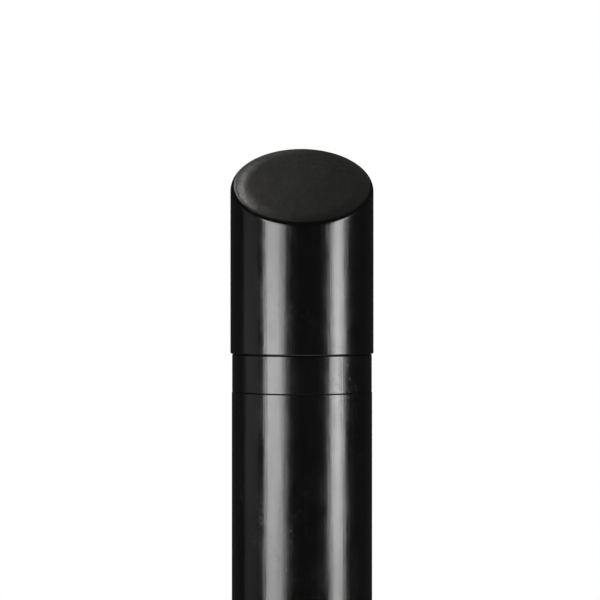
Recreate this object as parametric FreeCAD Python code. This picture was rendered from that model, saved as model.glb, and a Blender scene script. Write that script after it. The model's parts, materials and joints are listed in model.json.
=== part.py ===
"""Slim steel garden torch: oblique snuffer cap, lift-out oil tank, screw-on burner, three-section pole, spike.

Millimetres, +Z up. The origin is on the axis at the ground line, where the spike enters the soil.
The cap's slanted top faces -Y: its low side is towards -Y and its high side towards +Y.
"""

import FreeCAD, Part
import math
import os

Vector = FreeCAD.Vector
UP = Vector(0, 0, 1)
ORIGIN = Vector(0, 0, 0)

# Driving dimensions
TUBE_R = 22.5               # pole tube, outer radius
TUBE_WALL = 0.8
POLE_TOP = 1123.0           # rim of the upper tube
FOOT_THICKNESS = 3.0
SECTIONS = 3
CAP_R = 22.95               # cap sleeve, outer radius
CAP_SLANT = 31.8            # degrees between the cap's top and the horizontal
CAP_MID_HEIGHT = 55.05      # from the lip to the top, measured on the axis
NECK_R = 22.4               # visible band of the collar
NECK_HEIGHT = 12.0
SPIKE_R = 6.0
SPIKE_DEPTH = 250.0

# Fits
SLIDE_GAP = 0.05            # radial clearance of pieces that slide in a bore
CAP_GAP = 0.3               # radial clearance of the cap on its spigot, taken up by the seal ring

# Worked out from the driving dimensions
BORE_R = TUBE_R - TUBE_WALL
SPIGOT_R = BORE_R - SLIDE_GAP
SECTION_LENGTH = (POLE_TOP - FOOT_THICKNESS) / SECTIONS
LOWER_JOINT = FOOT_THICKNESS + SECTION_LENGTH
UPPER_JOINT = LOWER_JOINT + SECTION_LENGTH
LIP = POLE_TOP + NECK_HEIGHT
CAP_BORE_R = SPIGOT_R + CAP_GAP
CAP_TOP_ON_AXIS = LIP + CAP_MID_HEIGHT

# Cap
CAP_SKIN = 1.8              # thickness of the slanted plate
CAP_PLATE_RIM = 3.2         # depth of the plate's pressed rim, square to the plate
CAP_EDGE_RADIUS = 2.0
LIP_RADIUS = 0.25

# Collar, which carries the tank and takes the cap
COLLAR_BORE_R = 19.4
CAP_SPIGOT_HEIGHT = 8.0
TUBE_SPIGOT_HEIGHT = 12.0
EDGE_BREAK = 0.2
RIM_RADIUS = 0.25

# Seal rings
CAP_SEAL_SECTION_R = 0.9
TUBE_SEAL_SECTION_R = 0.8
CAP_SEAL_GAP = 0.05
TUBE_SEAL_GAP = 0.03
GROOVE_SIDE_GAP = 0.1

# Tank
TANK_R = 21.2
TANK_WALL = 0.5
TANK_LENGTH = 150.0
TANK_BASE_THICKNESS = 0.8
GUIDE_RING_R = BORE_R - 0.1
GUIDE_RING_HEIGHT = 6.0
GUIDE_RING_LIFT = 14.0      # above the tank's bottom edge
LID_THICKNESS = 1.2
LID_DEPTH = 4.8             # lid's top below the cap's lip

# Filler neck and burner
FILLER_R = 13.0
FILLER_WALL = 2.0
FILLER_RISE = 11.0          # neck's top above the cap's lip
FILLER_DROP = 9.0           # neck's bottom below the cap's lip
FILLER_FLANGE_R = 15.0
FILLER_FLANGE_THICKNESS = 1.2
GASKET_THICKNESS = 1.2
BURNER_R = 16.5
BURNER_TOP_THICKNESS = 1.5
BURNER_SKIRT = 9.7          # skirt below the gasket's top
GRIP_FLUTES = 24
FLUTE_R = 0.8
VENT_R = 1.0
VENT_OFFSET = 9.8

# Wick and its tube
WICK_R = 5.1
WICK_GAP = 0.1
WICK_TUBE_WALL = 0.8
WICK_TUBE_RISE = 4.8        # above the burner's top
WICK_TUBE_DROP = 19.2       # below the burner's underside
WICK_FLANGE_R = 8.0
WICK_FLANGE_THICKNESS = 1.0
WICK_SHOWING = 5.0
WICK_OFF_TANK_BASE = 4.0
NUT_ACROSS_FLATS = 16.0
NUT_HEIGHT = 3.0

# Pole joints
SLEEVE_WALL = 2.5
SLEEVE_LENGTH = 100.0
SLEEVE_SEAL_RISE = 38.0     # seal ring above the joint
SLEEVE_CHAMFER = 0.8

# Foot and spike
PLUG_HEIGHT = 22.0
PLUG_SCREWS = 3
PLUG_SCREW_R = 2.0
PLUG_SCREW_HOLE_R = 2.1
PLUG_SCREW_LENGTH = 9.0
PLUG_SCREW_LEVEL = 12.0     # above the plug's underside
SCREW_HEAD_R = 3.6
SCREW_HEAD_HEIGHT = 2.2
SCREW_SOCKET_AF = 2.5
SCREW_SOCKET_DEPTH = 1.3
FOOT_R = 38.0
FOOT_EDGE_RADIUS = 1.0
STUD_R = 5.0
STUD_GAP = 0.1
STUD_LENGTH = 40.0
SPIKE_TIP_LENGTH = 25.0
SPIKE_TIP_R = 0.8
WASHER_R = 10.0
WASHER_THICKNESS = 2.0
SPIKE_NUT_AF = 17.0
SPIKE_NUT_HEIGHT = 8.0


def lathe(outline):
    """Solid of revolution about the torch's axis from (radius, height) corners."""
    points = [Vector(radius, 0, height) for radius, height in outline]
    wire = Part.makePolygon(points + points[:1])
    return Part.Face(wire).revolve(ORIGIN, UP, 360)


def ring(outer, inner, low, high):
    """Plain tube or washer about the axis."""
    return lathe([(inner, low), (outer, low), (outer, high), (inner, high)])


def disc(radius, low, high):
    return Part.makeCylinder(radius, high - low, Vector(0, 0, low))


def seal(outer, section_radius, height):
    """O-ring whose outside reaches the given radius."""
    return Part.makeTorus(outer - section_radius, section_radius, Vector(0, 0, height))


def seal_groove(outer, section_radius, height):
    """Square groove that an O-ring sits in, open outwards."""
    half = section_radius + GROOVE_SIDE_GAP
    return ring(TUBE_R + 1, outer - 2 * section_radius, height - half, height + half)


def hexagon(across_flats, low, high):
    corner = across_flats / math.sqrt(3)
    turns = [math.radians(60 * side) for side in range(6)]
    points = [Vector(corner * math.cos(turn), corner * math.sin(turn), low) for turn in turns]
    face = Part.Face(Part.makePolygon(points + points[:1]))
    return face.extrude(Vector(0, 0, high - low))


def circle_edges(shape, radius, height):
    """Circular edges about the axis, of one radius and at one height."""
    found = []
    for edge in shape.Edges:
        curve = edge.Curve
        if isinstance(curve, Part.Circle) and abs(curve.Radius - radius) < 1e-4:
            if abs(curve.Center.z - height) < 1e-4:
                found.append(edge)
    return found


def rounded(shape, size, radius, height):
    return shape.makeFillet(size, circle_edges(shape, radius, height))


def chamfered(shape, size, radius, height):
    return shape.makeChamfer(size, circle_edges(shape, radius, height))


def above_slant(depth):
    """Block filling everything above the cap's slanted plane, set lower by depth square to it."""
    side = 6 * CAP_R
    block = Part.makeBox(side, side, side, Vector(-side / 2, -side / 2, -depth))
    block.rotate(ORIGIN, Vector(1, 0, 0), CAP_SLANT)
    block.translate(Vector(0, 0, CAP_TOP_ON_AXIS))
    return block


def cap_shell():
    """The whole cap: an obliquely cut closed tube with a rounded top edge."""
    highest = CAP_TOP_ON_AXIS + CAP_R
    blank = disc(CAP_R, LIP, highest).cut(above_slant(0))
    slanted_edges = [edge for edge in blank.Edges if isinstance(edge.Curve, Part.Ellipse)]
    blank = blank.makeFillet(CAP_EDGE_RADIUS, slanted_edges)
    blank = rounded(blank, LIP_RADIUS, CAP_R, LIP)
    hollow = disc(CAP_BORE_R, LIP - 1, highest).cut(above_slant(CAP_SKIN))
    return blank.cut(hollow)


def cap_sleeve():
    return cap_shell().cut(above_slant(CAP_PLATE_RIM))


def cap_top_plate():
    return cap_shell().common(above_slant(CAP_PLATE_RIM))


CAP_SEAL_R = CAP_BORE_R - CAP_SEAL_GAP
CAP_SEAL_LEVEL = LIP + CAP_SPIGOT_HEIGHT / 2
TANK_SEAL_R = BORE_R - TUBE_SEAL_GAP
TANK_SEAL_LEVEL = POLE_TOP - TUBE_SPIGOT_HEIGHT / 2
TANK_TOP = POLE_TOP - TUBE_SPIGOT_HEIGHT
TANK_BOTTOM = TANK_TOP - TANK_LENGTH


def collar_ring():
    """Ring between pole and cap: a spigot down into the tube, the visible neck band, a spigot up into the cap."""
    top = LIP + CAP_SPIGOT_HEIGHT
    body = lathe([
        (COLLAR_BORE_R, TANK_TOP), (SPIGOT_R, TANK_TOP), (SPIGOT_R, POLE_TOP), (NECK_R, POLE_TOP),
        (NECK_R, LIP), (SPIGOT_R, LIP), (SPIGOT_R, top), (COLLAR_BORE_R, top),
    ])
    body = chamfered(body, EDGE_BREAK, NECK_R, POLE_TOP)
    body = chamfered(body, EDGE_BREAK, NECK_R, LIP)
    body = chamfered(body, 2 * EDGE_BREAK, SPIGOT_R, top)
    body = body.cut(seal_groove(CAP_SEAL_R, CAP_SEAL_SECTION_R, CAP_SEAL_LEVEL))
    return body.cut(seal_groove(TANK_SEAL_R, TUBE_SEAL_SECTION_R, TANK_SEAL_LEVEL))


def cap_seal_ring():
    return seal(CAP_SEAL_R, CAP_SEAL_SECTION_R, CAP_SEAL_LEVEL)


def tank_seal_ring():
    return seal(TANK_SEAL_R, TUBE_SEAL_SECTION_R, TANK_SEAL_LEVEL)


def tank_shell():
    return ring(TANK_R, TANK_R - TANK_WALL, TANK_BOTTOM, TANK_TOP)


def tank_base():
    """Disc welded inside the shell's lower end."""
    return disc(TANK_R - TANK_WALL, TANK_BOTTOM, TANK_BOTTOM + TANK_BASE_THICKNESS)


def tank_guide_ring():
    low = TANK_BOTTOM + GUIDE_RING_LIFT
    return ring(GUIDE_RING_R, TANK_R, low, low + GUIDE_RING_HEIGHT)


LID_TOP = LIP - LID_DEPTH
LID_UNDERSIDE = LID_TOP - LID_THICKNESS


def tank_lid():
    """Disc in the collar's bore that closes the tank around the filler neck."""
    return ring(COLLAR_BORE_R, FILLER_R, LID_UNDERSIDE, LID_TOP)


def filler_neck():
    """Short neck that the burner screws onto, held from below by a flange under the lid."""
    inner = FILLER_R - FILLER_WALL
    flange_low = LID_UNDERSIDE - FILLER_FLANGE_THICKNESS
    return lathe([
        (inner, LIP - FILLER_DROP), (FILLER_R, LIP - FILLER_DROP), (FILLER_R, flange_low),
        (FILLER_FLANGE_R, flange_low), (FILLER_FLANGE_R, LID_UNDERSIDE), (FILLER_R, LID_UNDERSIDE),
        (FILLER_R, LIP + FILLER_RISE), (inner, LIP + FILLER_RISE),
    ])


BURNER_UNDERSIDE = LIP + FILLER_RISE + GASKET_THICKNESS
BURNER_TOP = BURNER_UNDERSIDE + BURNER_TOP_THICKNESS
WICK_TUBE_R = WICK_R + WICK_GAP + WICK_TUBE_WALL


def burner_gasket():
    return ring(FILLER_R, FILLER_R - FILLER_WALL, LIP + FILLER_RISE, BURNER_UNDERSIDE)


def burner_cap():
    """Screw cap over the filler neck, with grip flutes, a vent hole and a hole for the wick tube."""
    skirt_low = BURNER_UNDERSIDE - BURNER_SKIRT
    inner = FILLER_R + SLIDE_GAP
    body = lathe([
        (WICK_TUBE_R, BURNER_UNDERSIDE), (inner, BURNER_UNDERSIDE), (inner, skirt_low),
        (BURNER_R, skirt_low), (BURNER_R, BURNER_TOP), (WICK_TUBE_R, BURNER_TOP),
    ])
    body = chamfered(body, 2 * EDGE_BREAK, BURNER_R, BURNER_TOP)
    height = BURNER_TOP - skirt_low
    for number in range(GRIP_FLUTES):
        turn = 2 * math.pi * number / GRIP_FLUTES
        reach = BURNER_R + FLUTE_R / 3
        foot = Vector(reach * math.cos(turn), reach * math.sin(turn), skirt_low - 1)
        body = body.cut(Part.makeCylinder(FLUTE_R, height + 2, foot))
    vent = Part.makeCylinder(VENT_R, 2 * height, Vector(0, -VENT_OFFSET, skirt_low))
    return body.cut(vent)


def wick_tube():
    """Tube that holds the wick, with a flange on top of the burner cap."""
    inner = WICK_R + WICK_GAP
    flange_top = BURNER_TOP + WICK_FLANGE_THICKNESS
    top = BURNER_TOP + WICK_TUBE_RISE
    bottom = BURNER_UNDERSIDE - WICK_TUBE_DROP
    return lathe([
        (inner, bottom), (WICK_TUBE_R, bottom), (WICK_TUBE_R, BURNER_TOP), (WICK_FLANGE_R, BURNER_TOP),
        (WICK_FLANGE_R, flange_top), (WICK_TUBE_R, flange_top), (WICK_TUBE_R, top), (inner, top),
    ])


def wick_tube_nut():
    body = hexagon(NUT_ACROSS_FLATS, BURNER_UNDERSIDE - NUT_HEIGHT, BURNER_UNDERSIDE)
    return body.cut(disc(WICK_TUBE_R, BURNER_UNDERSIDE - 2 * NUT_HEIGHT, BURNER_TOP))


def wick():
    low = TANK_BOTTOM + TANK_BASE_THICKNESS + WICK_OFF_TANK_BASE
    return disc(WICK_R, low, BURNER_TOP + WICK_TUBE_RISE + WICK_SHOWING)


def pole_tube(low, high):
    """One section of the pole, with both outer rims rounded."""
    body = ring(TUBE_R, BORE_R, low, high)
    body = rounded(body, RIM_RADIUS, TUBE_R, low)
    return rounded(body, RIM_RADIUS, TUBE_R, high)


def joint_sleeve(joint):
    """Inner sleeve fixed in the section below the joint, with a seal ring groove in its free upper half."""
    low = joint - SLEEVE_LENGTH / 2
    high = joint + SLEEVE_LENGTH / 2
    body = ring(SPIGOT_R, SPIGOT_R - SLEEVE_WALL, low, high)
    body = chamfered(body, SLEEVE_CHAMFER, SPIGOT_R, high)
    return body.cut(seal_groove(TANK_SEAL_R, TUBE_SEAL_SECTION_R, joint + SLEEVE_SEAL_RISE))


def joint_seal_ring(joint):
    return seal(TANK_SEAL_R, TUBE_SEAL_SECTION_R, joint + SLEEVE_SEAL_RISE)


PLUG_TOP = FOOT_THICKNESS + PLUG_HEIGHT


def around_plug(make):
    """One shape per plug screw, made pointing along +X at the screw level and turned into place."""
    shapes = []
    for number in range(PLUG_SCREWS):
        shape = make(FOOT_THICKNESS + PLUG_SCREW_LEVEL)
        shape.rotate(ORIGIN, UP, 360 * number / PLUG_SCREWS - 90)
        shapes.append(shape)
    return shapes


def along_x(radius, start, end, level):
    return Part.makeCylinder(radius, end - start, Vector(start, 0, level), Vector(1, 0, 0))


def plug_screw(level):
    """Button-head screw through the tube wall into the plug."""
    shank = along_x(PLUG_SCREW_R, TUBE_R - PLUG_SCREW_LENGTH, TUBE_R, level)
    head = along_x(SCREW_HEAD_R, TUBE_R, TUBE_R + SCREW_HEAD_HEIGHT, level)
    outer = max(head.Edges, key=lambda edge: edge.BoundBox.XMin)
    head = head.makeFillet(0.6 * SCREW_HEAD_HEIGHT, [outer])
    socket = hexagon(SCREW_SOCKET_AF, 0, SCREW_SOCKET_DEPTH)
    socket.rotate(ORIGIN, Vector(0, 1, 0), 90)
    socket.translate(Vector(TUBE_R + SCREW_HEAD_HEIGHT - SCREW_SOCKET_DEPTH, 0, level))
    return shank.fuse(head).cut(socket)


def plug_screws():
    return Part.makeCompound(around_plug(plug_screw))


def lower_tube():
    body = pole_tube(FOOT_THICKNESS, LOWER_JOINT)
    for hole in around_plug(lambda level: along_x(PLUG_SCREW_HOLE_R, 0, 2 * TUBE_R, level)):
        body = body.cut(hole)
    return body


def base_plug():
    """Turned plug in the foot of the pole, drilled for the spike's stud and the three screws."""
    body = ring(SPIGOT_R, STUD_R + STUD_GAP, FOOT_THICKNESS, PLUG_TOP)
    depth = TUBE_R - PLUG_SCREW_LENGTH
    for hole in around_plug(lambda level: along_x(PLUG_SCREW_R, depth, 2 * TUBE_R, level)):
        body = body.cut(hole)
    return body


def foot_disc():
    body = ring(FOOT_R, STUD_R + STUD_GAP, 0, FOOT_THICKNESS)
    return rounded(body, FOOT_EDGE_RADIUS, FOOT_R, FOOT_THICKNESS)


def spike_rod():
    """Pointed rod with a shoulder under the foot disc and a thinner stud above it."""
    return lathe([
        (0, -SPIKE_DEPTH), (SPIKE_TIP_R, -SPIKE_DEPTH), (SPIKE_R, SPIKE_TIP_LENGTH - SPIKE_DEPTH),
        (SPIKE_R, 0), (STUD_R, 0), (STUD_R, STUD_LENGTH), (0, STUD_LENGTH),
    ])


def spike_washer():
    return ring(WASHER_R, STUD_R + STUD_GAP, PLUG_TOP, PLUG_TOP + WASHER_THICKNESS)


def spike_nut():
    low = PLUG_TOP + WASHER_THICKNESS
    body = hexagon(SPIKE_NUT_AF, low, low + SPIKE_NUT_HEIGHT)
    return body.cut(disc(STUD_R, low - 1, low + SPIKE_NUT_HEIGHT + 1))


def pieces():
    """Every node of the torch, by name, from the cap down to the spike."""
    return {
        "cap_sleeve": cap_sleeve(),
        "cap_top_plate": cap_top_plate(),
        "collar_ring": collar_ring(),
        "cap_seal_ring": cap_seal_ring(),
        "tank_seal_ring": tank_seal_ring(),
        "tank_lid": tank_lid(),
        "filler_neck": filler_neck(),
        "tank_shell": tank_shell(),
        "tank_base": tank_base(),
        "tank_guide_ring": tank_guide_ring(),
        "burner_gasket": burner_gasket(),
        "burner_cap": burner_cap(),
        "wick_tube": wick_tube(),
        "wick_tube_nut": wick_tube_nut(),
        "wick": wick(),
        "upper_tube": pole_tube(UPPER_JOINT, POLE_TOP),
        "middle_tube": pole_tube(LOWER_JOINT, UPPER_JOINT),
        "lower_tube": lower_tube(),
        "upper_joint_sleeve": joint_sleeve(UPPER_JOINT),
        "lower_joint_sleeve": joint_sleeve(LOWER_JOINT),
        "upper_joint_seal_ring": joint_seal_ring(UPPER_JOINT),
        "lower_joint_seal_ring": joint_seal_ring(LOWER_JOINT),
        "base_plug": base_plug(),
        "plug_screws": plug_screws(),
        "foot_disc": foot_disc(),
        "spike_rod": spike_rod(),
        "spike_washer": spike_washer(),
        "spike_nut": spike_nut(),
    }


def main():
    os.makedirs("parts", exist_ok=True)
    for name, shape in pieces().items():
        shape.exportStep(f"parts/{name}.step")
        print(f"{name}: {len(shape.Solids)} solid(s), {shape.Volume:.1f} mm3, valid {shape.isValid()}")


main()
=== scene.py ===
"""Slim black garden torch with an oblique snuffer cap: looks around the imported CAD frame. Metres, +Z up."""

import json
import math
import random

import bmesh
import bpy
from mathutils import Matrix, Vector

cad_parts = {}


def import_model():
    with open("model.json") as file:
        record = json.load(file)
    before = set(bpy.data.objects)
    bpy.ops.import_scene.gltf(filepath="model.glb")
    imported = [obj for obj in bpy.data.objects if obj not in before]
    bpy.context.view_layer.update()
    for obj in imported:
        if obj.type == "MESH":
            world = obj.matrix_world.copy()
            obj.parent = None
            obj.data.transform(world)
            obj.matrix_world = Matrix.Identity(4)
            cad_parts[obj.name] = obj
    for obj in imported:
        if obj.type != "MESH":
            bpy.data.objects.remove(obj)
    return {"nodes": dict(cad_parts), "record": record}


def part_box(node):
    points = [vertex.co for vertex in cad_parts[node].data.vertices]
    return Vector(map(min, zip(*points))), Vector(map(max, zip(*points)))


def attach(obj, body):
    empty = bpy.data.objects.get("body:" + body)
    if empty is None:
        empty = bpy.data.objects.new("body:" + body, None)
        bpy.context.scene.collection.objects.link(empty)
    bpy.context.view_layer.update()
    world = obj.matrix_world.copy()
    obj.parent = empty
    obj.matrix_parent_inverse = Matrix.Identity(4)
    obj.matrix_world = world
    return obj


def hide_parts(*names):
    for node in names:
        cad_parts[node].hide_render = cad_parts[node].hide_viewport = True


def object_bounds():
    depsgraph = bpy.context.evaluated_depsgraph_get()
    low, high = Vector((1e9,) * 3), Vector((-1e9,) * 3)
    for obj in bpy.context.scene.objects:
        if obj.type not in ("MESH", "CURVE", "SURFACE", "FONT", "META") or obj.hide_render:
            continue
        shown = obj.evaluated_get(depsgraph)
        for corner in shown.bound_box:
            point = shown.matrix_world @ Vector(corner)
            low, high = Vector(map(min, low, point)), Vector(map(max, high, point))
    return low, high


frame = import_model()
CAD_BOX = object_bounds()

MM = 0.001
SEGMENTS = 160              # round a turned piece
SLIM_SEGMENTS = 96          # round a slim one
CORNER_STEPS = 5            # round a rounded edge
SAME_POINT = 1e-6           # points nearer than this are welded
TINY_EDGE = 1e-7

# Sizes of the torch that the nodes' boxes don't give
TUBE_WALL = 0.8 * MM
RIM_ROUNDING = 0.30 * MM
NECK_FOOT_ROUNDING = 0.30 * MM
NECK_TOP_ROUNDING = 0.50 * MM
LIP_ROUNDING = 0.50 * MM
EDGE_BREAK = 0.2 * MM
GROOVE_GAP = 0.1 * MM
CAP_WALL = 1.0 * MM
CAP_SKIN = 1.8 * MM
CAP_SLANT = math.radians(31.8)
CAP_EDGE_RADIUS = 2.0 * MM
CROWN_REACH = 5.0 * MM      # width of the softly falling border of the slanted top
CROWN_SLOPE = math.radians(9.0)
CROWN_SUNK = 0.30           # share of the crown's rise that lies below the flat top
TANK_WALL = 0.5 * MM
TANK_BASE = 2.0 * MM
FILLER_R = 13.0 * MM
GRIP_FLUTES = 24
FLUTE_R = 0.8 * MM
VENT_R = 1.0 * MM
VENT_OFFSET = 9.8 * MM
STUD_R = 5.0 * MM

# Camera, level, looking along +Y at the slanted top
CAMERA_LENS = 102.0
CAMERA_SENSOR = 36.0
CAMERA_BACK = 545.4 * MM    # from the torch's axis
CAMERA_RISE = 17.2 * MM     # above the cap's lip
CAMERA_TURN = -0.008        # radians round the torch's axis
CAMERA_ASIDE = -0.63 * MM

# Stage
FLOOR_RADIUS = 1.6
FLOOR_SOLID_SHARE = 0.20    # of the radius, before the floor fades into the background
FLOOR_GLOW = 0.35           # keeps the floor pale where the panels reach it least


# ---------------------------------------------------------------- meshes

def around(radius, turn, height=0.0):
    """The point at a radius, turn and height about the torch's axis."""
    return Vector((radius * math.cos(turn), radius * math.sin(turn), height))


def linked(name, data):
    """A new object in the scene that shows data."""
    thing = bpy.data.objects.new(name, data)
    bpy.context.scene.collection.objects.link(thing)
    return thing


def mesh_object(name, bm):
    """An object made from bm, which is freed."""
    mesh = bpy.data.meshes.new(name)
    bm.to_mesh(mesh)
    bm.free()
    return linked(name, mesh)


def weight_normals(piece):
    """Lets the large faces rule the normals, so that they look flat beside small roundings."""
    piece.modifiers.new("weighted_normals", "WEIGHTED_NORMAL").keep_sharp = True


def smooth_object(name, bm):
    """A smooth-shaded piece made from bm."""
    bmesh.ops.recalc_face_normals(bm, faces=bm.faces)
    piece = mesh_object(name, bm)
    piece.data.shade_smooth()
    weight_normals(piece)
    return piece


def rounded_outline(corners):
    """Points of a closed outline given as (radius, height, rounding) corners, each rounding as an arc."""
    points = []
    for index, (radius, height, rounding) in enumerate(corners):
        corner = Vector((radius, height))
        if rounding == 0:
            points.append(corner)
            continue
        before = (Vector(corners[index - 1][:2]) - corner).normalized()
        after = (Vector(corners[(index + 1) % len(corners)][:2]) - corner).normalized()
        half_angle = before.angle(after) / 2
        centre = corner + (before + after).normalized() * (rounding / math.sin(half_angle))
        start = corner + before * (rounding / math.tan(half_angle)) - centre
        end = corner + after * (rounding / math.tan(half_angle)) - centre
        for step in range(CORNER_STEPS + 1):
            points.append(centre + start.slerp(end, step / CORNER_STEPS) * rounding)
    return points


def grid_surface(bm, columns, closed_outline):
    """Quads between neighbouring columns of points. The last column joins the first one, and in a closed
    outline the last row joins the first one too."""
    verts = [[bm.verts.new(point) for point in column] for column in columns]
    rows = len(verts[0])
    last = rows if closed_outline else rows - 1
    for index, column in enumerate(verts):
        neighbour = verts[(index + 1) % len(verts)]
        for row in range(last):
            following = (row + 1) % rows
            bm.faces.new((column[row], neighbour[row], neighbour[following], column[following]))


def turned(name, corners, segments=SEGMENTS):
    """Solid of revolution about the torch's axis."""
    outline = rounded_outline(corners)
    columns = []
    for number in range(segments):
        turn = 2 * math.pi * number / segments
        columns.append([around(p.x, turn, p.y) for p in outline])
    bm = bmesh.new()
    grid_surface(bm, columns, closed_outline=True)
    bmesh.ops.remove_doubles(bm, verts=bm.verts, dist=SAME_POINT)
    bmesh.ops.dissolve_degenerate(bm, edges=bm.edges, dist=TINY_EDGE)
    return smooth_object(name, bm)


def bored(piece, cutter):
    """The piece with the cutter's volume taken out of it."""
    piece.modifiers.clear()
    cut = piece.modifiers.new("bore", "BOOLEAN")
    cut.object = cutter
    cut.solver = "EXACT"
    shapes = bpy.context.evaluated_depsgraph_get()
    bored_mesh = bpy.data.meshes.new_from_object(piece.evaluated_get(shapes))
    piece.modifiers.clear()
    piece.data = bored_mesh
    bpy.data.objects.remove(cutter)
    weight_normals(piece)
    return piece


def finish_piece(piece, body, slot, *nodes):
    """Puts a finished piece on its body, in place of the CAD nodes that it stands for."""
    piece.data.materials.append(MATERIALS[slot])
    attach(piece, body)
    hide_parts(*nodes)


# ---------------------------------------------------------------- materials

class Shader:
    """A material's node tree, built by short calls. Textures lie in each object's own metres."""

    def __init__(self, name):
        self.material = bpy.data.materials.new(name)
        self.material.use_nodes = True
        self.tree = self.material.node_tree
        self.surface = self.tree.nodes["Principled BSDF"]
        self.place = self.add("ShaderNodeTexCoord").outputs["Object"]

    def add(self, kind, **settings):
        node = self.tree.nodes.new(kind)
        for key, value in settings.items():
            setattr(node, key, value)
        return node

    def feed(self, socket, value):
        if isinstance(value, bpy.types.NodeSocket):
            self.tree.links.new(value, socket)
        else:
            socket.default_value = value

    def stretched(self, x, y, z, shift=(0, 0, 0)):
        """Coordinates scaled along each axis, then shifted."""
        node = self.add("ShaderNodeMapping")
        self.feed(node.inputs["Vector"], self.place)
        node.inputs["Scale"].default_value = (x, y, z)
        node.inputs["Location"].default_value = shift
        return node.outputs["Vector"]

    def noise(self, vector, scale=1.0, detail=2.0, distortion=0.0):
        node = self.add("ShaderNodeTexNoise")
        self.feed(node.inputs["Vector"], vector)
        node.inputs["Scale"].default_value = scale
        node.inputs["Detail"].default_value = detail
        node.inputs["Distortion"].default_value = distortion
        return node.outputs["Fac"]

    def cells(self, vector, scale):
        """Distance to the nearest of scattered points, and a random number for each point."""
        node = self.add("ShaderNodeTexVoronoi")
        self.feed(node.inputs["Vector"], vector)
        node.inputs["Scale"].default_value = scale
        return node.outputs["Distance"], node.outputs["Color"]

    def scattered(self, scale, share, size):
        """1 inside small round spots of about one size, at a share of scattered points."""
        distance, pick = self.cells(self.place, scale)
        chosen = self.remap(pick, 1.0 - share, 1.0, 0.3 * size * scale, size * scale)
        spot = self.remap(self.math("SUBTRACT", chosen, distance), 0.0, 0.25 * size * scale)
        return self.times(spot, self.math("GREATER_THAN", pick, 1.0 - share))

    def remap(self, value, low, high, to_low=0.0, to_high=1.0, smooth=False):
        node = self.add("ShaderNodeMapRange")
        if smooth:
            node.interpolation_type = "SMOOTHSTEP"
        self.feed(node.inputs["Value"], value)
        for key, number in (("From Min", low), ("From Max", high), ("To Min", to_low), ("To Max", to_high)):
            node.inputs[key].default_value = number
        return node.outputs["Result"]

    def math(self, operation, a, b):
        node = self.add("ShaderNodeMath", operation=operation)
        self.feed(node.inputs[0], a)
        self.feed(node.inputs[1], b)
        return node.outputs["Value"]

    def plus(self, a, b):
        return self.math("ADD", a, b)

    def times(self, a, b):
        return self.math("MULTIPLY", a, b)

    def band(self, value, start, full, fading, end):
        """1 from full to fading, falling softly to 0 at start and at end."""
        rising = self.remap(value, start, full, smooth=True)
        return self.times(rising, self.remap(value, end, fading, smooth=True))

    def mix(self, share, low, high):
        """Colour between two colours."""
        node = self.add("ShaderNodeMix", data_type="RGBA")
        self.feed(node.inputs["Factor"], share)
        self.feed(node.inputs["A"], low)
        self.feed(node.inputs["B"], high)
        return node.outputs["Result"]

    def height(self):
        """Height above the ground line."""
        node = self.add("ShaderNodeSeparateXYZ")
        self.feed(node.inputs["Vector"], self.place)
        return node.outputs["Z"]

    def edges(self, low, high):
        """1 on sharp outer edges, from the geometry's pointiness."""
        node = self.add("ShaderNodeNewGeometry")
        return self.remap(node.outputs["Pointiness"], low, high)

    def bump(self, height, distance, below=None):
        """Relief of a depth in metres, on top of the relief below it."""
        node = self.add("ShaderNodeBump")
        node.inputs["Distance"].default_value = distance
        self.feed(node.inputs["Height"], height)
        if below is not None:
            self.feed(node.inputs["Normal"], below)
        return node.outputs["Normal"]

    def set(self, **sockets):
        for key, value in sockets.items():
            self.feed(self.surface.inputs[key.replace("_", " ")], value)


def grey(value):
    return (value, value, value, 1.0)


def black_coat():
    """Semi-gloss black coating over drawn tube: lines along the pole, nibs, dull marks and rubbed rims."""
    s = Shader("black_coated_steel")
    waves = s.noise(s.stretched(85, 85, 20), detail=3.0)
    streaks = s.noise(s.stretched(950, 950, 16), detail=3.0)
    fine_lines = s.noise(s.stretched(4200, 4200, 60), detail=2.0)
    peel = s.noise(s.place, scale=900, detail=2.0)
    mottle = s.noise(s.stretched(240, 240, 110), detail=4.0)
    smudge = s.noise(s.stretched(28, 28, 16), detail=4.0, distortion=0.6)
    patch = s.remap(s.noise(s.stretched(-38, 38, 26, shift=(0.35, 0, 0)), detail=2.0), 0.52, 0.64)
    marks = s.remap(s.noise(s.place, scale=420, detail=5.0, distortion=1.2), 0.53, 0.66)
    marks = s.times(marks, patch)
    nibs = s.scattered(190, 0.14, 0.36 * MM)
    coat = s.mix(s.remap(smudge, 0.35, 0.75), grey(0.0012), grey(0.0022))
    coat = s.mix(s.times(marks, 0.5), coat, grey(0.009))
    coat = s.mix(s.times(nibs, 0.4), coat, grey(0.03))
    coat = s.mix(s.times(s.edges(0.53, 0.62), 0.35), coat, grey(0.02))
    gloss = s.remap(smudge, 0.3, 0.7, 0.165, 0.205)
    gloss = s.plus(gloss, s.remap(streaks, 0.3, 0.7, -0.02, 0.02))
    gloss = s.plus(gloss, s.remap(mottle, 0.3, 0.7, -0.04, 0.04))
    gloss = s.plus(gloss, s.times(marks, 0.10))
    relief = s.bump(waves, 110e-6)
    finer = ((streaks, 26e-6), (mottle, 36e-6), (fine_lines, 6e-6), (peel, 2.5e-6), (nibs, 50e-6))
    for height, depth in finer:
        relief = s.bump(height, depth, below=relief)
    s.set(Base_Color=coat, Roughness=gloss, Normal=relief)
    return s.material


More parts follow.
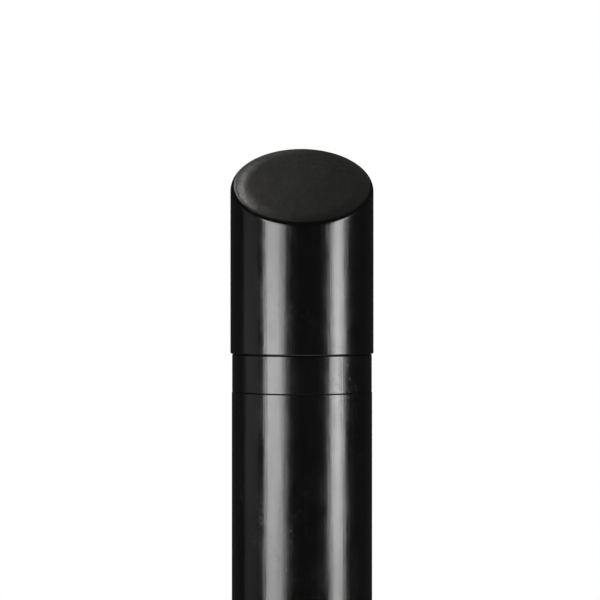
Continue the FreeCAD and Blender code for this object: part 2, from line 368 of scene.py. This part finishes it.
def stainless():
    """Turned stainless steel: rings from the lathe, a faintly warm tint and a few brown stains."""
    s = Shader("stainless_steel")
    rings = s.noise(s.stretched(60, 60, 9000), detail=3.0)
    stains = s.noise(s.place, scale=90, detail=4.0, distortion=1.0)
    tone = s.mix(s.remap(rings, 0.3, 0.7), (0.40, 0.39, 0.375, 1), (0.48, 0.47, 0.455, 1))
    tone = s.mix(s.remap(stains, 0.55, 0.85, 0.0, 0.5), tone, (0.29, 0.25, 0.20, 1))
    gloss = s.plus(s.remap(rings, 0.3, 0.7, 0.31, 0.37), s.remap(stains, 0.4, 0.8, 0.0, 0.1))
    s.set(Base_Color=tone, Metallic=1.0, Roughness=gloss, Normal=s.bump(rings, 1.2e-6))
    return s.material


def brass():
    """Turned brass, browned by heat and sooty towards the wick's end."""
    s = Shader("brass")
    rings = s.noise(s.stretched(80, 80, 7000), detail=3.0)
    tarnish = s.noise(s.place, scale=220, detail=5.0, distortion=1.4)
    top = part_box("wick_tube")[1].z
    uneven = s.plus(s.height(), s.remap(tarnish, 0.3, 0.7, -1.0 * MM, 1.0 * MM))
    soot = s.remap(uneven, top - 3.5 * MM, top + 0.5 * MM, smooth=True)
    tone = s.mix(s.remap(tarnish, 0.35, 0.75), (0.72, 0.50, 0.19, 1), (0.36, 0.21, 0.09, 1))
    tone = s.mix(s.times(soot, 0.93), tone, grey(0.012))
    gloss = s.plus(s.remap(tarnish, 0.3, 0.7, 0.24, 0.42), s.times(soot, 0.35))
    s.set(Base_Color=tone, Metallic=s.remap(soot, 0.0, 1.0, 1.0, 0.15), Roughness=gloss,
          Normal=s.bump(rings, 3e-6))
    return s.material


def silicone():
    """Matt black silicone with a little dust."""
    s = Shader("black_silicone")
    grain = s.noise(s.place, scale=2500, detail=2.0)
    dust = s.remap(s.noise(s.place, scale=420, detail=4.0), 0.52, 0.8, 0.0, 0.5)
    tone = s.mix(dust, grey(0.018), grey(0.07))
    s.set(Base_Color=tone, Roughness=s.remap(grain, 0.3, 0.7, 0.55, 0.7), Normal=s.bump(grain, 8e-6))
    return s.material


def wick_fibre():
    """Glass fibre yarn: off-white, oil-yellowed, burnt black at the tip."""
    s = Shader("wick_fibre")
    threads = s.noise(s.stretched(5200, 5200, 1500), detail=3.0)
    blotch = s.noise(s.place, scale=500, detail=4.0)
    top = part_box("wick")[1].z
    uneven = s.plus(s.height(), s.remap(blotch, 0.3, 0.7, -1.6 * MM, 1.6 * MM))
    scorched = s.remap(uneven, top - 5.5 * MM, top - 2.8 * MM, smooth=True)
    burnt = s.remap(uneven, top - 3.0 * MM, top - 0.6 * MM, smooth=True)
    tone = s.mix(s.remap(threads, 0.3, 0.7), (0.72, 0.67, 0.55, 1), (0.88, 0.85, 0.77, 1))
    tone = s.mix(scorched, tone, (0.19, 0.11, 0.055, 1))
    tone = s.mix(burnt, tone, (0.012, 0.011, 0.010, 1))
    s.set(Base_Color=tone, Roughness=0.75, Normal=s.bump(threads, 60e-6))
    s.surface.inputs["Sheen Weight"].default_value = 0.25
    return s.material


def aluminium():
    """Turned aluminium with fine tool rings and sliding marks."""
    s = Shader("aluminium")
    rings = s.noise(s.stretched(40, 40, 6000), detail=3.0)
    rubs = s.noise(s.stretched(900, 900, 25), detail=3.0)
    tone = s.mix(s.remap(rings, 0.3, 0.7), grey(0.60), grey(0.76))
    gloss = s.plus(s.remap(rings, 0.3, 0.7, 0.27, 0.38), s.remap(rubs, 0.5, 0.8, 0.0, 0.12))
    s.set(Base_Color=tone, Metallic=1.0, Roughness=gloss, Normal=s.bump(rings, 4e-6))
    return s.material


def zinc_plate():
    """Bright zinc plating, cloudy, with dull scuffs."""
    s = Shader("zinc_plated_steel")
    clouds = s.noise(s.place, scale=160, detail=5.0, distortion=0.8)
    scuffs = s.noise(s.stretched(1800, 1800, 70), detail=4.0)
    tone = s.mix(s.remap(clouds, 0.3, 0.7), (0.46, 0.48, 0.50, 1), (0.63, 0.65, 0.67, 1))
    tone = s.mix(s.remap(scuffs, 0.58, 0.8, 0.0, 0.6), tone, (0.30, 0.29, 0.27, 1))
    gloss = s.plus(s.remap(clouds, 0.3, 0.7, 0.26, 0.4), s.remap(scuffs, 0.5, 0.8, 0.0, 0.2))
    s.set(Base_Color=tone, Metallic=1.0, Roughness=gloss, Normal=s.bump(scuffs, 8e-6))
    return s.material


MATERIALS = {
    "black_coated_steel": black_coat(),
    "stainless_steel": stainless(),
    "brass": brass(),
    "black_silicone": silicone(),
    "wick_fibre": wick_fibre(),
    "aluminium": aluminium(),
    "zinc_plated_steel": zinc_plate(),
}


# ---------------------------------------------------------------- the torch's pieces

def finish_cad_nodes():
    """Every CAD node gets its slot's material; those that a finer piece stands for are hidden later."""
    for part in frame["record"]["subparts"]:
        node = frame["nodes"][part["node"]]
        node.data.materials.clear()
        node.data.materials.append(MATERIALS[part["material_slot"]])


def lip_points(turn, lip, bore, radius):
    """The cap's lip at a turn, from the bore round to the wall."""
    points = [around(bore, turn, lip + LIP_ROUNDING), around(bore + LIP_ROUNDING / 2, turn, lip)]
    for step in range(CORNER_STEPS + 1):
        angle = math.pi / 2 * step / CORNER_STEPS
        reach = radius - LIP_ROUNDING + LIP_ROUNDING * math.sin(angle)
        points.append(around(reach, turn, lip + LIP_ROUNDING - LIP_ROUNDING * math.cos(angle)))
    return points


def cap_columns():
    """The cap's closed outline at each turn: bore, lip, wall, rounded edge, crowned top, underside."""
    low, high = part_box("cap_sleeve")
    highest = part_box("cap_top_plate")[1].z
    radius = high.x
    lip = low.z
    segments = 2 * SEGMENTS
    edge_steps = 2 * CORNER_STEPS
    flat = Vector((0, -math.sin(CAP_SLANT), math.cos(CAP_SLANT)))
    # The flat top passes through the highest point of the rounded edge, on the far side.
    edge_centre_rise = (radius - CAP_EDGE_RADIUS) * math.tan(CAP_SLANT)
    top_centre = highest - CAP_EDGE_RADIUS - edge_centre_rise + CAP_EDGE_RADIUS / math.cos(CAP_SLANT)
    rise = math.tan(CROWN_SLOPE) * CROWN_REACH / 2
    middle = Vector((0, 0, top_centre)) + flat * rise * (1 - CROWN_SUNK)
    bore = radius - CAP_WALL
    columns = []
    for number in range(segments):
        turn = 2 * math.pi * number / segments
        out = around(1, turn)
        column = lip_points(turn, lip, bore, radius)
        centre = out * (radius - CAP_EDGE_RADIUS)
        centre.z = top_centre + centre.y * math.tan(CAP_SLANT)
        centre.z -= (CAP_EDGE_RADIUS + rise * CROWN_SUNK) / math.cos(CAP_SLANT)
        column.append(around(radius, turn, (lip + centre.z) / 2))
        column.append(around(radius, turn, centre.z - EDGE_BREAK))
        outward = (out - flat * out.dot(flat)).normalized()
        crown_edge = flat * math.cos(CROWN_SLOPE) + outward * math.sin(CROWN_SLOPE)
        for step in range(edge_steps + 1):
            column.append(centre + out.slerp(crown_edge, step / edge_steps) * CAP_EDGE_RADIUS)
        column += crown_points(column[-1], middle, flat, rise)
        underside = top_centre - CAP_SKIN / math.cos(CAP_SLANT)
        column.append(Vector((0, 0, underside)))
        column.append(around(bore, turn, underside + bore * out.y * math.tan(CAP_SLANT)))
        columns.append(column)
    return columns


def crown_points(edge, middle, flat, rise):
    """From the rounded edge in to the middle of the slanted top: rising softly, then flat."""
    steps = 24
    flat_edge = edge + flat * (middle - edge).dot(flat)
    reach = (flat_edge - middle).length
    points = []
    for step in range(1, steps + 1):
        inset = CROWN_REACH * step / steps
        fall = rise * (1 - inset / CROWN_REACH) ** 2
        points.append(middle + (flat_edge - middle) * (1 - inset / reach) - flat * fall)
    for share in (0.5, 0.25, 0.0):
        points.append(middle.lerp(points[steps - 1], share))
    return points


def cap():
    """The snuffer cap: an obliquely cut tube closed by a plate, welded and ground to one skin."""
    bm = bmesh.new()
    grid_surface(bm, cap_columns(), closed_outline=True)
    bmesh.ops.remove_doubles(bm, verts=bm.verts, dist=TINY_EDGE)
    piece = smooth_object("snuffer_cap", bm)
    finish_piece(piece, "cap", "black_coated_steel", "cap_sleeve", "cap_top_plate")


def groove(node, spigot):
    """Corners of the square groove in a spigot that a seal ring sits in."""
    low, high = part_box(node)
    floor = high.x - (high.z - low.z)
    return [
        (spigot, low.z - GROOVE_GAP, 0), (floor, low.z - GROOVE_GAP, 0),
        (floor, high.z + GROOVE_GAP, 0), (spigot, high.z + GROOVE_GAP, 0),
    ]


def collar():
    """Ring between pole and cap: a spigot into the tube, the neck band, and a spigot into the cap."""
    low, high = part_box("collar_ring")
    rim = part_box("upper_tube")[1].z
    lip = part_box("cap_sleeve")[0].z
    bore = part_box("tank_lid")[1].x
    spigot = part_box("upper_joint_sleeve")[1].x
    corners = [
        (bore, low.z, EDGE_BREAK), (spigot, low.z, EDGE_BREAK), *groove("tank_seal_ring", spigot),
        (spigot, rim, 0), (high.x, rim, NECK_FOOT_ROUNDING),
        (high.x, lip, NECK_TOP_ROUNDING), (spigot, lip, 0),
        *groove("cap_seal_ring", spigot), (spigot, high.z, 2 * EDGE_BREAK), (bore, high.z, 2 * EDGE_BREAK),
    ]
    finish_piece(turned("tank_collar", corners), "tank", "black_coated_steel", "collar_ring")


def pole_tubes():
    """The three pole sections: plain tubes with rounded rims."""
    for section in ("upper", "middle", "lower"):
        low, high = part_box(f"{section}_tube")
        bore = high.x - TUBE_WALL
        corners = [
            (bore, low.z, EDGE_BREAK), (high.x, low.z, RIM_ROUNDING),
            (high.x, high.z, RIM_ROUNDING), (bore, high.z, EDGE_BREAK),
        ]
        piece = turned(f"pole_{section}_section", corners)
        finish_piece(piece, f"{section}_section", "black_coated_steel", f"{section}_tube")


def joint_sleeves():
    """Turned sleeves that join the pole's sections, each with a lead-in and a seal ring's groove."""
    wall = 2.5 * MM
    lead_in = 1.6 * MM
    for joint, body in (("lower", "lower_section"), ("upper", "middle_section")):
        low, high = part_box(f"{joint}_joint_sleeve")
        outer = high.x
        bore = outer - wall
        corners = [
            (bore, low.z, 2 * EDGE_BREAK), (outer, low.z, 2 * EDGE_BREAK),
            *groove(f"{joint}_joint_seal_ring", outer),
            (outer, high.z - lead_in, EDGE_BREAK), (outer - lead_in / 2, high.z, EDGE_BREAK),
            (bore, high.z, 2 * EDGE_BREAK),
        ]
        piece = turned(f"turned_{joint}_joint_sleeve", corners)
        finish_piece(piece, body, "aluminium", f"{joint}_joint_sleeve")


def seal_rings():
    """O-rings of round section."""
    homes = {
        "cap_seal_ring": "cap_seat", "tank_seal_ring": "tank_seat",
        "lower_joint_seal_ring": "lower_section", "upper_joint_seal_ring": "middle_section",
    }
    for node, body in homes.items():
        low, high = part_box(node)
        section = (high.z - low.z) / 2
        rounding = section * 0.999      # a hair less, so that neighbouring arcs stay apart
        inner = high.x - 2 * section
        corners = [
            (inner, low.z, rounding), (high.x, low.z, rounding),
            (high.x, high.z, rounding), (inner, high.z, rounding),
        ]
        finish_piece(turned(f"moulded_{node}", corners), body, "black_silicone", node)


def bead(radius, level):
    """Corners of a groove rolled into a sheet-metal wall."""
    depth = 0.35 * MM
    half = 1.4 * MM
    slope = 0.7 * MM
    return [
        (radius, level - half - slope, slope), (radius - depth, level - half, slope),
        (radius - depth, level + half, slope), (radius, level + half + slope, slope),
    ]


def tank():
    """The oil tank: a thin drawn can with rolled beads and a dished base."""
    low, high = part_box("tank_shell")
    radius = high.x
    inner = radius - TANK_WALL
    dish = 1.5 * MM
    standing_rim = 3 * MM
    beads = []
    bead_levels = (low.z + 30 * MM, low.z + 38 * MM, high.z - 22 * MM, high.z - 14 * MM)
    for level in bead_levels:
        beads += bead(radius, level)
    corners = [
        (0, low.z + dish, 0), (radius - 2 * standing_rim, low.z + dish, 2 * MM),
        (radius - standing_rim, low.z, 1 * MM), (radius, low.z, 1.2 * MM), *beads,
        (radius, high.z, 0), (inner, high.z, 0),
        (inner, low.z + TANK_BASE + dish, 1 * MM), (0, low.z + TANK_BASE, 0),
    ]
    finish_piece(turned("oil_tank", corners), "tank", "stainless_steel", "tank_shell", "tank_base")


def guide_ring():
    """Silicone ring round the tank, with three soft ribs."""
    low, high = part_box("tank_guide_ring")
    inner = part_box("tank_shell")[1].x
    ribs = 3
    height = (high.z - low.z) / ribs
    valley = high.x - 0.35 * MM
    hollow = 0.1 * MM
    crest = 0.15 * MM
    corners = [(inner, high.z, 0), (inner, low.z, 0)]
    for rib in range(ribs):
        base = low.z + rib * height
        corners += [
            (valley, base, hollow),
            (high.x, base + 0.25 * height, crest), (high.x, base + 0.75 * height, crest),
        ]
    corners.append((valley, high.z, hollow))
    finish_piece(turned("ribbed_guide_ring", corners), "tank", "black_silicone", "tank_guide_ring")


def lid():
    """Pressed disc that closes the tank round the filler neck, with a shallow ring pressed into it."""
    low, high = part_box("tank_lid")
    middle = (FILLER_R + high.x) / 2
    half = 1.2 * MM
    depth = 0.4 * MM
    corners = [
        (FILLER_R, low.z, 0), (high.x, low.z, 0), (high.x, high.z, 0),
        (middle + half + depth, high.z, depth), (middle + half, high.z - depth, depth),
        (middle - half, high.z - depth, depth), (middle - half - depth, high.z, depth),
        (FILLER_R, high.z, 0),
    ]
    finish_piece(turned("pressed_tank_lid", corners), "tank", "stainless_steel", "tank_lid")


def fluted(radius, turn):
    """Radius of the burner's grip at a turn: a circle with round flutes cut into it."""
    spacing = 2 * math.pi / GRIP_FLUTES
    aside = ((turn + spacing / 2) % spacing - spacing / 2) * radius
    if abs(aside) >= FLUTE_R:
        return radius
    flute_centre = radius + FLUTE_R / 3
    return min(radius, flute_centre - math.sqrt(FLUTE_R ** 2 - aside ** 2))


def burner():
    """Screw cap with a fluted grip, a rolled top edge and a vent hole."""
    low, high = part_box("burner_cap")
    radius = high.x
    hole = 0.75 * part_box("wick_tube")[1].x      # the wick tube's flange covers it
    inner = FILLER_R + 0.05 * MM
    steps_per_flute = 14
    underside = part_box("burner_gasket")[1].z
    outline = rounded_outline([
        (inner, low.z, EDGE_BREAK), (radius, low.z, 2 * EDGE_BREAK), (radius, high.z, 0.8 * MM),
        (hole, high.z, EDGE_BREAK), (hole, underside, 0), (inner, underside, 0),
    ])
    count = GRIP_FLUTES * steps_per_flute
    columns = []
    for number in range(count):
        turn = 2 * math.pi * number / count
        reach = fluted(radius, turn)
        columns.append([around(min(p.x, reach), turn, p.y) for p in outline])
    bm = bmesh.new()
    grid_surface(bm, columns, closed_outline=True)
    piece = bored(smooth_object("burner_screw_cap", bm), vent_cutter(low.z, high.z + VENT_R))
    finish_piece(piece, "burner", "stainless_steel", "burner_cap")


def vent_cutter(low, high):
    """The rod that the burner's vent is bored with."""
    corners = [(0, low, 0), (VENT_R, low, 0), (VENT_R, high, 0), (0, high, 0)]
    rod = turned("vent_cutter", corners, segments=32)
    rod.data.transform(Matrix.Translation((0, -VENT_OFFSET, 0)))
    return rod


def wick_tube():
    """Brass tube with a flange on the burner cap and a rolled mouth."""
    low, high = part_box("wick_tube")
    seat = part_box("burner_cap")[1].z
    wick_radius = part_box("wick")[1].x
    bore = wick_radius + 0.1 * MM
    outer = bore + 0.8 * MM
    flange = high.x
    flange_top = seat + 1 * MM
    mouth = 0.38 * MM
    corners = [
        (bore, low.z, EDGE_BREAK), (outer, low.z, EDGE_BREAK), (outer, seat, 0), (flange, seat, 0.1 * MM),
        (flange, flange_top, 0.35 * MM), (outer, flange_top, 0.3 * MM),
        (outer, high.z, mouth), (bore, high.z, mouth),
    ]
    finish_piece(turned("rolled_wick_tube", corners, SLIM_SEGMENTS), "burner", "brass", "wick_tube")


def strand(bm, points, half_width, half_thickness):
    """One flat yarn of the wick along points, lying against the wick's round surface."""
    sides = 6
    rings = []
    for index, point in enumerate(points):
        ahead = points[min(index + 1, len(points) - 1)] - points[max(index - 1, 0)]
        out = Vector((point.x, point.y, 0)).normalized()
        side = ahead.cross(out).normalized()
        ring = []
        for number in range(sides):
            turn = 2 * math.pi * number / sides
            offset = side * (half_width * math.cos(turn)) + out * (half_thickness * math.sin(turn))
            ring.append(bm.verts.new(point + offset))
        rings.append(ring)
    for ring, following in zip(rings, rings[1:]):
        for number in range(sides):
            after = (number + 1) % sides
            bm.faces.new((ring[number], ring[after], following[after], following[number]))
    bm.faces.new(rings[0])
    bm.faces.new(reversed(rings[-1]))


def wick():
    """Round braided wick: yarns crossing over and under each other round a core, frayed at the end."""
    low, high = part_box("wick")
    radius = high.x
    yarns = 10                    # each way round
    pitch = 30 * MM
    wave = 0.22 * MM              # how far a yarn moves out and in as it crosses the others
    half_thickness = 0.32 * MM
    lean = math.atan(2 * math.pi * radius / pitch)
    half_width = 0.95 * math.pi * radius / yarns * math.cos(lean)       # leaves a narrow gap between yarns
    middle = radius - wave - half_thickness
    step = pitch / (2 * yarns) / 3              # three points from one crossing to the next
    bm = bmesh.new()
    for way in (1, -1):
        for yarn in range(yarns):
            top = high.z - random.uniform(0.5, 1.6) * MM
            count = int((top - low.z) / step)
            points = []
            for index in range(count + 1):
                height = (top - low.z) * index / count
                swing = 2 * math.pi * height / pitch
                reach = middle + way * wave * math.cos(yarns * swing)
                turn = way * swing + 2 * math.pi * yarn / yarns
                points.append(around(reach, turn, low.z + height))
            strand(bm, points, half_width, half_thickness)
    core(bm, middle - wave, low.z, high.z - 1.2 * MM)
    frayed_end(bm, middle, high.z)
    finish_piece(smooth_object("braided_wick", bm), "wick", "wick_fibre", "wick")


def core(bm, radius, low, high):
    """The wick's straight inner yarns, as one rod with an uneven top."""
    sides = 24
    columns = []
    for number in range(sides):
        turn = 2 * math.pi * number / sides
        rim = high - random.uniform(0.0, 0.5) * MM
        column = [(0, 0, low)]
        for share, level in ((1.0, low), (1.0, rim), (0.6, rim + random.uniform(0, 0.6) * MM)):
            column.append(around(share * radius, turn, level))
        column.append((0, 0, high))
        columns.append(column)
    grid_surface(bm, columns, closed_outline=False)
    bmesh.ops.remove_doubles(bm, verts=bm.verts, dist=SAME_POINT)


def frayed_end(bm, radius, top):
    """Loose fibres standing up from the wick's end, each a slim four-sided spike."""
    fibres = 150
    longest = 2.2 * MM
    sides = 4
    for _ in range(fibres):
        turn = random.uniform(0, 2 * math.pi)
        root = around(radius * math.sqrt(random.random()), turn, top - longest)
        lean = Vector((random.uniform(-0.5, 0.5), random.uniform(-0.5, 0.5), 0)) * MM
        tip = bm.verts.new(root + lean + Vector((0, 0, random.uniform(1.2, 2.2) * MM)))
        thick = random.uniform(0.07, 0.16) * MM
        base = [bm.verts.new(root + around(thick, 2 * math.pi * side / sides)) for side in range(sides)]
        for side in range(sides):
            bm.faces.new((base[side], base[(side + 1) % sides], tip))
        bm.faces.new(reversed(base))


def foot():
    """The disc that stops the spike at the ground, with a soft upper edge and a hole for the stud."""
    low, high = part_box("foot_disc")
    hole = STUD_R + 0.1 * MM
    corners = [
        (hole, low.z, EDGE_BREAK), (high.x, low.z, 2 * EDGE_BREAK),
        (high.x, high.z, 1.2 * MM), (hole, high.z, EDGE_BREAK),
    ]
    finish_piece(turned("turned_foot_disc", corners), "lower_section", "black_coated_steel", "foot_disc")


def spike():
    """Pointed rod with a shoulder at the ground line, and a plain stud above it."""
    low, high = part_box("spike_rod")
    shaft = high.x
    tip = 0.9 * MM
    taper = low.z + 25 * MM
    ground = 0
    corners = [
        (0, low.z, 0), (tip, low.z, 0.6 * MM), (shaft, taper, 6 * MM), (shaft, ground, 0),
        (STUD_R, ground, 0), (STUD_R, high.z, 0.8 * MM), (0, high.z, 0),
    ]
    piece = turned("pointed_spike", corners, SLIM_SEGMENTS)
    finish_piece(piece, "lower_section", "zinc_plated_steel", "spike_rod")


# ---------------------------------------------------------------- camera, stage and light

def camera():
    """A level camera in front of the torch, a little above the cap's lip."""
    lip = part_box("cap_sleeve")[0].z
    data = bpy.data.cameras.new("camera")
    data.lens = CAMERA_LENS
    data.sensor_width = CAMERA_SENSOR
    data.clip_start = 0.01
    eye = linked("camera", data)
    aside = around(CAMERA_ASIDE, CAMERA_TURN)
    eye.location = around(CAMERA_BACK, CAMERA_TURN - math.pi / 2, lip + CAMERA_RISE) + aside
    eye.rotation_euler = (math.pi / 2, 0, CAMERA_TURN)
    bpy.context.scene.camera = eye


def panel(name, place, aim, width, height, strength, tint=(1, 1, 1, 1)):
    """A glowing rectangle at place that faces aim and that the camera doesn't see.

    strength(shader, across, up) gives its radiance. Across and up run from the panel's middle, and across
    points to the right for someone who looks at the torch from the panel."""
    s = Shader(name)
    spot = s.add("ShaderNodeSeparateXYZ")
    s.feed(spot.inputs["Vector"], s.place)
    glow = s.add("ShaderNodeEmission")
    glow.inputs["Color"].default_value = tint
    s.feed(glow.inputs["Strength"], strength(s, spot.outputs["X"], spot.outputs["Y"]))
    s.tree.links.new(glow.outputs["Emission"], s.tree.nodes["Material Output"].inputs["Surface"])
    bm = bmesh.new()
    corners = ((-1, -1), (1, -1), (1, 1), (-1, 1))
    bm.faces.new([bm.verts.new((x * width / 2, y * height / 2, 0)) for x, y in corners])
    lamp = mesh_object(name, bm)
    lamp.data.materials.append(s.material)
    lamp.location = place
    lamp.rotation_euler = (Vector(aim) - lamp.location).to_track_quat("-Z", "Y").to_euler()
    lamp.visible_camera = False


def softbox(name, azimuth, distance, width, radiance, soft_left, soft_right, high=2.3):
    """An upright panel from the floor up, brightest near the height that the neck mirrors.

    Azimuth 0 is the camera's side. The light fades over a share of the width at each side."""
    low = CAD_BOX[0].z
    middle = (low + high) / 2
    half = width / 2
    dim_low, brightest, dim_high = 0.50, 1.00, 1.35     # heights

    def strength(s, across, up):
        level = s.plus(up, middle)
        below = s.remap(level, dim_low, brightest, 0.42, 1.0)
        above = s.remap(level, brightest, dim_high, 1.0, 0.70, smooth=True)
        sides = s.band(across, -half, -half + width * soft_left, half - width * soft_right, half)
        return s.times(s.times(s.times(below, above), sides), radiance)

    turn = math.radians(azimuth) + CAMERA_TURN
    place = around(distance, turn - math.pi / 2, middle)
    panel(name, place, (0, 0, middle), width, high - low, strength)


def sky_panel():
    """A dim panel behind and above the torch, which the slanted top mirrors, with two bright bands.

    The top's crowned border mirrors the near band as a crescent, its rounded edge the far one as a line."""
    lean = 0.35             # of the near band, across for each metre up
    near_radiance, far_radiance = 4.3, 1.5

    def strength(s, across, up):
        # The panel faces down and towards the camera, so across grows to the camera's left.
        graded = s.plus(s.remap(across, -0.06, 0.14, 0.115, 0.31), s.remap(across, -0.06, -0.20, 0.0, 0.03))
        leaning = s.math("SUBTRACT", across, s.times(up, lean))
        near = s.times(s.band(leaning, 0.225, 0.335, 0.35, 0.44), s.band(up, -0.30, 0.08, 0.30, 0.46))
        far = s.times(s.remap(across, 0.58, 0.74, smooth=True), s.band(up, -0.80, -0.30, 0.40, 0.60))
        bands = s.plus(s.times(near, near_radiance), s.times(far, far_radiance))
        return s.plus(graded, bands)

    top = (0, 0, CAD_BOX[1].z)
    place = (0.03, 1.16, 3.2)
    panel("sky_panel", place, top, 2.1, 2.2, strength, tint=(1, 0.985, 0.94, 1))


def lights():
    """Two bright softboxes that the pole mirrors as its two stripes, and dimmer light round about."""
    softbox("key_left", -41.6, distance=2.0, width=1.56, radiance=11.4, soft_left=0.10, soft_right=0.5)
    softbox("key_right", 59.2, distance=2.0, width=1.35, radiance=14.1, soft_left=0.40, soft_right=0.45)
    softbox("side_left", -90.5, distance=2.4, width=1.48, radiance=0.41, soft_left=0.12, soft_right=0.12)
    softbox("behind", 180, distance=3.0, width=0.9, radiance=4.0, soft_left=0.4, soft_right=0.4, high=2.0)
    sky_panel()


def floor_disc():
    """The round floor that the torch's tip stands on."""
    rings, sides = 6, 96
    level = CAD_BOX[0].z
    columns = []
    for number in range(sides):
        turn = 2 * math.pi * number / sides
        columns.append([around(FLOOR_RADIUS * ring / rings, turn, level) for ring in range(rings + 1)])
    bm = bmesh.new()
    grid_surface(bm, columns, closed_outline=False)
    bmesh.ops.remove_doubles(bm, verts=bm.verts, dist=SAME_POINT)
    floor = mesh_object("floor", bm)
    floor.data.materials.append(floor_material())


def floor_material():
    """Pale matt floor that fades into the white background towards its edge."""
    s = Shader("floor")
    grain = s.noise(s.place, scale=300, detail=3.0)
    s.set(Base_Color=s.mix(grain, grey(0.80), grey(0.84)), Roughness=0.9)
    s.surface.inputs["Specular IOR Level"].default_value = 0.2
    s.surface.inputs["Emission Color"].default_value = (1, 1, 1, 1)
    s.surface.inputs["Emission Strength"].default_value = FLOOR_GLOW
    reach = s.add("ShaderNodeVectorMath", operation="LENGTH")
    s.feed(reach.inputs[0], s.stretched(1, 1, 0))
    clear_from = FLOOR_RADIUS * 0.97
    fade = s.remap(reach.outputs["Value"], FLOOR_RADIUS * FLOOR_SOLID_SHARE, clear_from, smooth=True)
    clear = s.add("ShaderNodeBsdfTransparent")
    blend = s.add("ShaderNodeMixShader")
    s.feed(blend.inputs["Fac"], fade)
    s.tree.links.new(s.surface.outputs["BSDF"], blend.inputs[1])
    s.tree.links.new(clear.outputs["BSDF"], blend.inputs[2])
    s.tree.links.new(blend.outputs["Shader"], s.tree.nodes["Material Output"].inputs["Surface"])
    return s.material


def world():
    """White behind the torch for the camera, and a dim studio for everything else."""
    studio = bpy.data.worlds.new("studio")
    bpy.context.scene.world = studio
    studio.use_nodes = True
    tree = studio.node_tree
    background = tree.nodes["Background"]
    background.inputs["Color"].default_value = (1, 1, 1, 1)
    seen = tree.nodes.new("ShaderNodeLightPath")
    level = tree.nodes.new("ShaderNodeMapRange")
    tree.links.new(seen.outputs["Is Camera Ray"], level.inputs["Value"])
    level.inputs["To Min"].default_value = 0.03
    level.inputs["To Max"].default_value = 1.0
    tree.links.new(level.outputs["Result"], background.inputs["Strength"])


random.seed(7)
finish_cad_nodes()
cap()
collar()
seal_rings()
lid()
burner()
wick_tube()
wick()
tank()
guide_ring()
pole_tubes()
joint_sleeves()
foot()
spike()
camera()
floor_disc()
lights()
world()
bpy.context.scene.view_settings.view_transform = "Standard"
